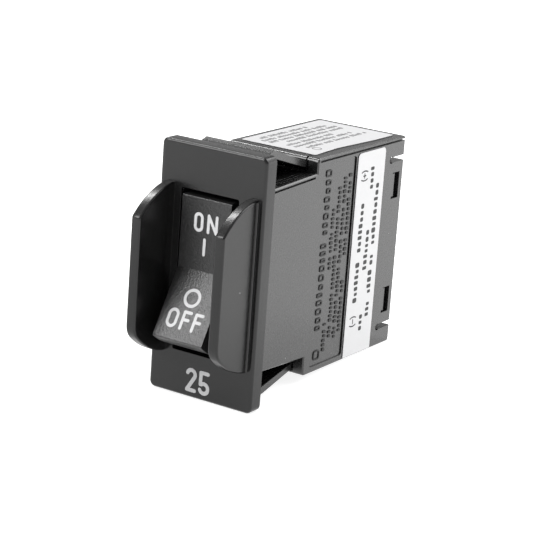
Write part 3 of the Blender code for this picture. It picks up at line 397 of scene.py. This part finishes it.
class Print:
    """Thin raised shapes on a patch, gathered into one object."""

    def __init__(self, patch):
        self.patch = patch
        self.bm = bmesh.new()
        self.layer = 0

    def prism(self, outer, inner=None, low=-INK_SUNK, high=INK_T - INK_SUNK, draft=0.0):
        """A plate with this outline; inner is the outline of its hole, with as many points."""
        loops = []
        for loop in (outer, inner):
            if loop is None:
                continue
            middle = sum((Vector(p) for p in loop), Vector((0.0, 0.0))) / len(loop)
            top = [middle + (Vector(p) - middle) * (1 - draft) for p in loop]
            loops.append(([self.bm.verts.new(self.patch.point(x, y, low)) for x, y in loop],
                          [self.bm.verts.new(self.patch.point(x, y, high)) for x, y in top]))
        for bottom, top in loops:
            for i in range(len(bottom)):
                j = (i + 1) % len(bottom)
                self.bm.faces.new((bottom[i], bottom[j], top[j], top[i]))
        if inner is None:
            for ring in loops[0]:
                self.bm.faces.new(ring)
        else:
            for level in range(2):
                a, b = loops[0][level], loops[1][level]
                for i in range(len(a)):
                    j = (i + 1) % len(a)
                    self.bm.faces.new((a[i], a[j], b[j], b[i]))

    def stroke(self, path, width, closed=False):
        rise = self.layer * INK_STEP
        self.layer += 1
        outer, inner = ribbon_outline(path, width, closed)
        self.prism(outer, inner, high=INK_T - INK_SUNK + rise)

    def done(self, name, finish, body):
        """The finished object, riding on its body."""
        bmesh.ops.recalc_face_normals(self.bm, faces=self.bm.faces)
        mesh = bpy.data.meshes.new(name)
        self.bm.to_mesh(mesh)
        self.bm.free()
        mesh.materials.append(finish)
        obj = bpy.data.objects.new(name, mesh)
        bpy.context.scene.collection.objects.link(obj)
        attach(obj, body)
        return obj


# ---------------------------------------------------------------- legends on the rocker and the bezel

STROKE = 0.62              # widths of the printed strokes, mm
RATING_STROKE = 0.78
PRESSED_HALF = (-0.84, 0, 7.8)  # where each group of characters has its middle, mm
RAISED_HALF = (-0.84, 0, -6.0)
RATING_PLACE = (-0.45, 0, -21.4)
PRESSED_HIGH = 3.8         # heights of the characters, mm
RAISED_HIGH = 3.9
RATING_HIGH = 4.85
RING_STEPS = 40            # sides of the ring


# Each character is a list of strokes about its middle: (path, whether it closes on itself). Its width and
# height are measured between the middles of its outermost strokes.

def bar(width, height):
    return [([(0, -height / 2), (0, height / 2)], False)]


def circle(width, height):
    return [(arc((0, 0), (width / 2, height / 2), 0, 360, RING_STEPS)[:-1], True)]


def letter_o(width, height):
    return [(stadium(width, height), True)]


def letter_n(width, height):
    x, y = width / 2, height / 2
    return [([(-x, -y), (-x, y)], False), ([(-x, y), (x, -y)], False), ([(x, -y), (x, y)], False)]


def letter_f(width, height):
    x, y = width / 2, height / 2
    bar_x, bar_y = 0.72 * x, 0.04 * height
    return [([(-x, -y), (-x, y)], False), ([(-x, y), (x, y)], False),
            ([(-x, bar_y), (bar_x, bar_y)], False)]


def digit_2(width, height):
    x, y = width / 2, height / 2
    bow = arc((0, y - x), x, 165, -32, steps=16)
    return [(bow + [(-x, -y)], False), ([(-x, -y), (x, -y)], False)]


def digit_5(width, height):
    x, y = width / 2, height / 2
    bow_high = x * 1.02
    bow = arc((0, bow_high - y), (x, bow_high), 128, -158, steps=20)
    shoulder = (-x * 0.8, y)
    elbow = (-x * 0.85, bow[0][1] - 0.02)
    return [([(x * 0.9, y), shoulder], False), ([shoulder, elbow], False), ([elbow] + bow, False)]


def write(patch, name, characters, stroke, finish, body):
    """Prints characters on the patch: (shape, width and height over the ink, x and y of the middle)."""
    ink_print = Print(patch)
    for shape, width, height, x, y in characters:
        for path, closed in shape(width - stroke, height - stroke):
            ink_print.stroke([(px + x, py + y) for px, py in path], stroke, closed)
    return ink_print.done(name, finish, body)


def print_legends():
    """ON and I on the pressed half, a ring and OFF on the raised half, and the rating on the bezel."""
    pressed = Patch("rocker", PRESSED_HALF, *FROM_FRONT)
    write(pressed, "legend_on", [(letter_o, 2.16, PRESSED_HIGH, -1.6, 2.3),
                                 (letter_n, 2.5, PRESSED_HIGH, 1.6, 2.3)], STROKE, WHITE_INK, "rocker")
    write(pressed, "legend_line", [(bar, STROKE, 3.52, 0.0, -2.35)], STROKE, WHITE_INK, "rocker")
    raised = Patch("rocker", RAISED_HALF, *FROM_FRONT)
    write(raised, "legend_ring", [(circle, 3.82, 3.82, 0.0, 2.25)], STROKE, WHITE_INK, "rocker")
    write(raised, "legend_off", [(letter_o, 2.5, RAISED_HIGH, -2.75, -2.25),
                                 (letter_f, 2.1, RAISED_HIGH, 0.3, -2.25),
                                 (letter_f, 2.1, RAISED_HIGH, 3.0, -2.25)], STROKE, WHITE_INK, "rocker")
    rating = Patch("bezel", RATING_PLACE, *FROM_FRONT)
    write(rating, "legend_rating", [(digit_2, 2.6, RATING_HIGH, -1.55, 0.0),
                                    (digit_5, 2.7, RATING_HIGH, 1.5, 0.0)], RATING_STROKE, GREY_INK, "root")


print_legends()


# ---------------------------------------------------------------- moulded and printed lines that say nothing

# Blocks are measured in shares of their row's height, and their corners in shares of their own width.
BLOCK_WIDTHS = (0.42, 0.72)
BLOCK_HEIGHTS = (1.0, 1.0, 0.74, 0.74, 0.88)
BLOCK_GAP = 0.3
WORD_GAP = 0.9
BLOCK_CORNER = 0.32
HOLE_CORNER = 0.1
HOLLOW_FROM = 2.6          # a block is hollow only where it is wider than this many walls
BLOCKS_IN_WORD = (3, 8)
ONE_WORD = (30, 30)        # more blocks than a row has room for
RECESS_PLACE = (0, 25.25, -0.5)  # where each sheet of rows has its middle, mm
SIDE_LABEL_PLACE = (0, 37.05, -0.9)
TOP_LABEL_PLACE = (-0.5, 33.7, 0)
BIG_MARK_HIGH = 3.0        # heights of the rows, mm
MARK_HIGH = 2.0
SIDE_PRINT_HIGH = 1.5
SMALL_PRINT_HIGH = 1.1
MARK_WALL = 0.3            # wall of the moulded hollow blocks, mm
MARK_SUNK = 0.03           # how far the moulded lines reach into the floor of the recess, mm
MARK_RISE = 0.16           # how far they stand out of it, mm
MARK_DRAFT = 0.06          # how much smaller they are at the top, as a share
SIGN_V = 2.45              # how far up the side label the polarity signs lie, mm
SIGN_REACH = 0.42          # half of a plus or a minus, mm
SIGN_STROKE = 0.26
BRACKET_R = 2.6            # radius of a bracket's bow, mm
BRACKET_X = 1.6            # from the sign to the centre of the bow, on the far side, mm
BRACKET_ANGLE = 25         # half of the bow, degrees


def pill(x0, x1, y0, y1, radius, steps=3):
    """Outline of a rounded block."""
    corners = (((x1 - radius, y1 - radius), 0), ((x0 + radius, y1 - radius), 90),
               ((x0 + radius, y0 + radius), 180), ((x1 - radius, y0 + radius), 270))
    return [p for centre, a in corners for p in arc(centre, radius, a, a + 90, steps)]


def dumb_line(sheet, start, end, middle, height, dice, low=-INK_SUNK, high=INK_T - INK_SUNK, draft=0.0,
              words=BLOCKS_IN_WORD, wall=0.0):
    """A row of small blocks in groups, in the rhythm of words but without any letters, from start to end.

    With a wall, the wider blocks are frames with a wall this thick."""
    at = start
    left_in_word = dice.randint(*words)
    while at < end:
        width = height * dice.uniform(*BLOCK_WIDTHS)
        if at + width > end:
            break
        tall = height * dice.choice(BLOCK_HEIGHTS)
        foot = middle - height / 2
        hole = None
        if wall and width > HOLLOW_FROM * wall:
            hole = pill(at + wall, at + width - wall, foot + wall, foot + tall - wall, width * HOLE_CORNER)
        block = pill(at, at + width, foot, foot + tall, width * BLOCK_CORNER)
        sheet.prism(block, hole, low, high, 0.0 if hole else draft)
        left_in_word -= 1
        at += width + height * (BLOCK_GAP if left_in_word else WORD_GAP)
        if not left_in_word:
            left_in_word = dice.randint(*words)


def mould_panel():
    """Raised lines in the cover's recess, running up the case."""
    dice = random.Random(11)
    sheet = Print(Patch("case_cover", RECESS_PLACE, *FROM_RIGHT))
    mark = {"low": -MARK_SUNK, "high": MARK_RISE, "draft": MARK_DRAFT}
    dumb_line(sheet, -19.8, -15.6, 3.75, BIG_MARK_HIGH, dice, words=(2, 2), wall=MARK_WALL, **mark)
    dumb_line(sheet, -13.6, 20.0, 3.75, MARK_HIGH, dice, words=(7, 12), wall=MARK_WALL, **mark)
    rows = ((1.0, ((-18.5, -12.5), (-1.5, 11.5))),
            (-0.9, ((-16.0, 15.5),)),
            (-2.75, ((-16.5, 17.0),)),
            (-4.5, ((-15.5, -4.5), (0.5, 17.5))))
    for middle, spans in rows:
        for start, end in spans:
            dumb_line(sheet, start, end, middle, SMALL_PRINT_HIGH, dice, **mark)
    sheet.done("moulded_lines", MARK, "root")


def print_side_label():
    """A minus and a plus in brackets for the terminals' polarity, and rows of blocks for the small print."""
    dice = random.Random(23)
    sheet = Print(Patch("side_label", SIDE_LABEL_PLACE, *FROM_RIGHT))
    for at, plus in ((-14.1, False), (16.5, True)):
        for side, facing in ((-1, 180), (1, 0)):
            sheet.stroke(arc((at - side * BRACKET_X, SIGN_V), BRACKET_R, facing - BRACKET_ANGLE,
                             facing + BRACKET_ANGLE, steps=8), SIGN_STROKE)
        sheet.stroke([(at - SIGN_REACH, SIGN_V), (at + SIGN_REACH, SIGN_V)], SIGN_STROKE)
        if plus:
            sheet.stroke([(at, SIGN_V - SIGN_REACH), (at, SIGN_V + SIGN_REACH)], SIGN_STROKE)
    rows = ((SIGN_V, ((-10.1, -1.0), (0.6, 12.0))),
            (-0.4, ((-16.6, -12.0), (-3.6, 4.8), (13.4, 19.2))),
            (-2.75, ((-14.0, -10.4), (-9.0, -4.0), (-3.0, -0.2), (1.4, 15.2))))
    for middle, spans in rows:
        for start, end in spans:
            dumb_line(sheet, start, end, middle, SIDE_PRINT_HIGH, dice, words=ONE_WORD)
    sheet.done("side_label_print", BLACK_INK, "root")


def print_top_label():
    """Rows of small blocks along the top label, and a small ring."""
    dice = random.Random(31)
    sheet = Print(Patch("top_label", TOP_LABEL_PLACE, *FROM_ABOVE))
    rows = ((6.6, -11.0, 6.0), (4.9, -12.5, 10.5), (3.2, -12.5, 12.5), (1.5, -9.0, 12.5),
            (-0.5, -12.0, 5.5), (-2.2, -12.0, 9.0), (-4.1, -10.5, 12.0))
    for middle, start, end in rows:
        dumb_line(sheet, start, end, middle, SMALL_PRINT_HIGH, dice)
    sheet.stroke(arc((-9.6, -6.0), 0.9, 0, 360, steps=24)[:-1], 0.2, closed=True)
    sheet.done("top_label_print", PALE_INK, "root")


mould_panel()
print_side_label()
print_top_label()


# ---------------------------------------------------------------- stage

FLOOR_HALF = 6.0           # half of the floor's side, m
FLOOR_GREYS = ((0.50, 0.50, 0.50, 1.0), (0.53, 0.53, 0.53, 1.0))
FLOOR_GLOW = (0.42, 1.0)   # the floor is a light table, with a dimmer pool in front of the object
POOL = (-0.06, -0.09, 0.0) # the middle of the pool, m
POOL_REACH = (0.03, 0.17)  # how far from there the glow starts and stops growing, m
SKY = (1.1, 0.42)          # the room's brightness at the horizon and above it
HAZE = (0.09, 0.2)         # the sines of the heights between which it falls
MIDDLE = (0.0, 0.018, 0.0) # where the lights are aimed, m
SOFTBOXES = (              # name, place and aim in m, width and height in m, power in W
    ("right_box", (0.42, 0.50, 0.16), MIDDLE, 0.5, 0.35, 0.8),
    ("left_front_box", (-0.33, -0.50, 0.43), MIDDLE, 0.36, 0.46, 4.3),
    ("edge_strip", (-0.38, 0.12, 0.55), MIDDLE, 0.06, 0.4, 2.3),
    ("back_floor_box", (0.45, 0.65, 0.70), (0.45, 0.60, 0.0), 0.9, 0.8, 10.0),
)
# The camera's place and nearest view are in metres, its turn in degrees, its lens and sensor in millimetres.
CAMERA_PLACE = (0.20997, -0.30587, 0.10658)
CAMERA_TURN = (74.204, -3.935, 34.111)
CAMERA_LENS = 136.42
CAMERA_SENSOR = 36.0
CAMERA_CLIP = 0.01


def lay_floor():
    """A pale floor that touches the bezel's foot and the case's heel."""
    toe = Vector((0.0, 0.0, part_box("bezel")[0].z))
    heel = Vector((0.0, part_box("case_shell")[1].y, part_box("case_shell")[0].z))
    mesh = bpy.data.meshes.new("floor")
    half = FLOOR_HALF
    mesh.from_pydata([(-half, -half, 0), (half, -half, 0), (half, half, 0), (-half, half, 0)], [],
                     [(0, 1, 2, 3)])
    floor = bpy.data.objects.new("floor", mesh)
    floor.location = toe
    floor.rotation_euler.x = math.atan2(heel.z - toe.z, heel.y - toe.y)
    bpy.context.scene.collection.objects.link(floor)
    f = Finish("floor_white")
    away = f.add("ShaderNodeVectorMath", Vector=f.place)
    away.operation = "DISTANCE"
    away.inputs[1].default_value = POOL
    glow = f.add("ShaderNodeMapRange", Value=away.outputs["Value"], From_Min=POOL_REACH[0],
                 From_Max=POOL_REACH[1], To_Min=FLOOR_GLOW[0], To_Max=FLOOR_GLOW[1]).outputs["Result"]
    f.set(Base_Color=f.mix(f.noise(scale=6.0), *FLOOR_GREYS), Roughness=0.9, Specular_IOR_Level=0.1,
          Emission_Color=WHITE, Emission_Strength=glow)
    mesh.materials.append(f.material)


def light_room():
    """A room that is brightest at the horizon, and the softboxes in it."""
    world = bpy.data.worlds.new("studio")
    bpy.context.scene.world = world
    world.use_nodes = True
    tree = world.node_tree
    back = tree.nodes["Background"]
    back.inputs["Color"].default_value = WHITE
    way = tree.nodes.new("ShaderNodeSeparateXYZ")
    tree.links.new(tree.nodes.new("ShaderNodeTexCoord").outputs["Generated"], way.inputs["Vector"])
    fade = tree.nodes.new("ShaderNodeMapRange")
    tree.links.new(way.outputs["Z"], fade.inputs["Value"])
    for name, value in zip(("From Min", "From Max", "To Min", "To Max"), HAZE + SKY):
        fade.inputs[name].default_value = value
    tree.links.new(fade.outputs["Result"], back.inputs["Strength"])
    for name, place, aim, width, height, power in SOFTBOXES:
        light = bpy.data.lights.new(name, "AREA")
        light.shape = "RECTANGLE"
        light.size, light.size_y = width, height
        light.energy = power
        lamp = bpy.data.objects.new(name, light)
        lamp.location = place
        lamp.rotation_euler = (Vector(aim) - Vector(place)).to_track_quat("-Z", "Y").to_euler()
        bpy.context.scene.collection.objects.link(lamp)


def set_camera():
    """The camera, ahead of the breaker, to its right and a little above it."""
    camera = bpy.data.cameras.new("camera")
    camera.lens = CAMERA_LENS
    camera.sensor_width = CAMERA_SENSOR
    camera.clip_start = CAMERA_CLIP
    view = bpy.data.objects.new("camera", camera)
    view.location = CAMERA_PLACE
    view.rotation_euler = [math.radians(angle) for angle in CAMERA_TURN]
    bpy.context.scene.collection.objects.link(view)
    bpy.context.scene.camera = view
    bpy.context.scene.view_settings.view_transform = "Standard"


lay_floor()
light_room()
set_camera()
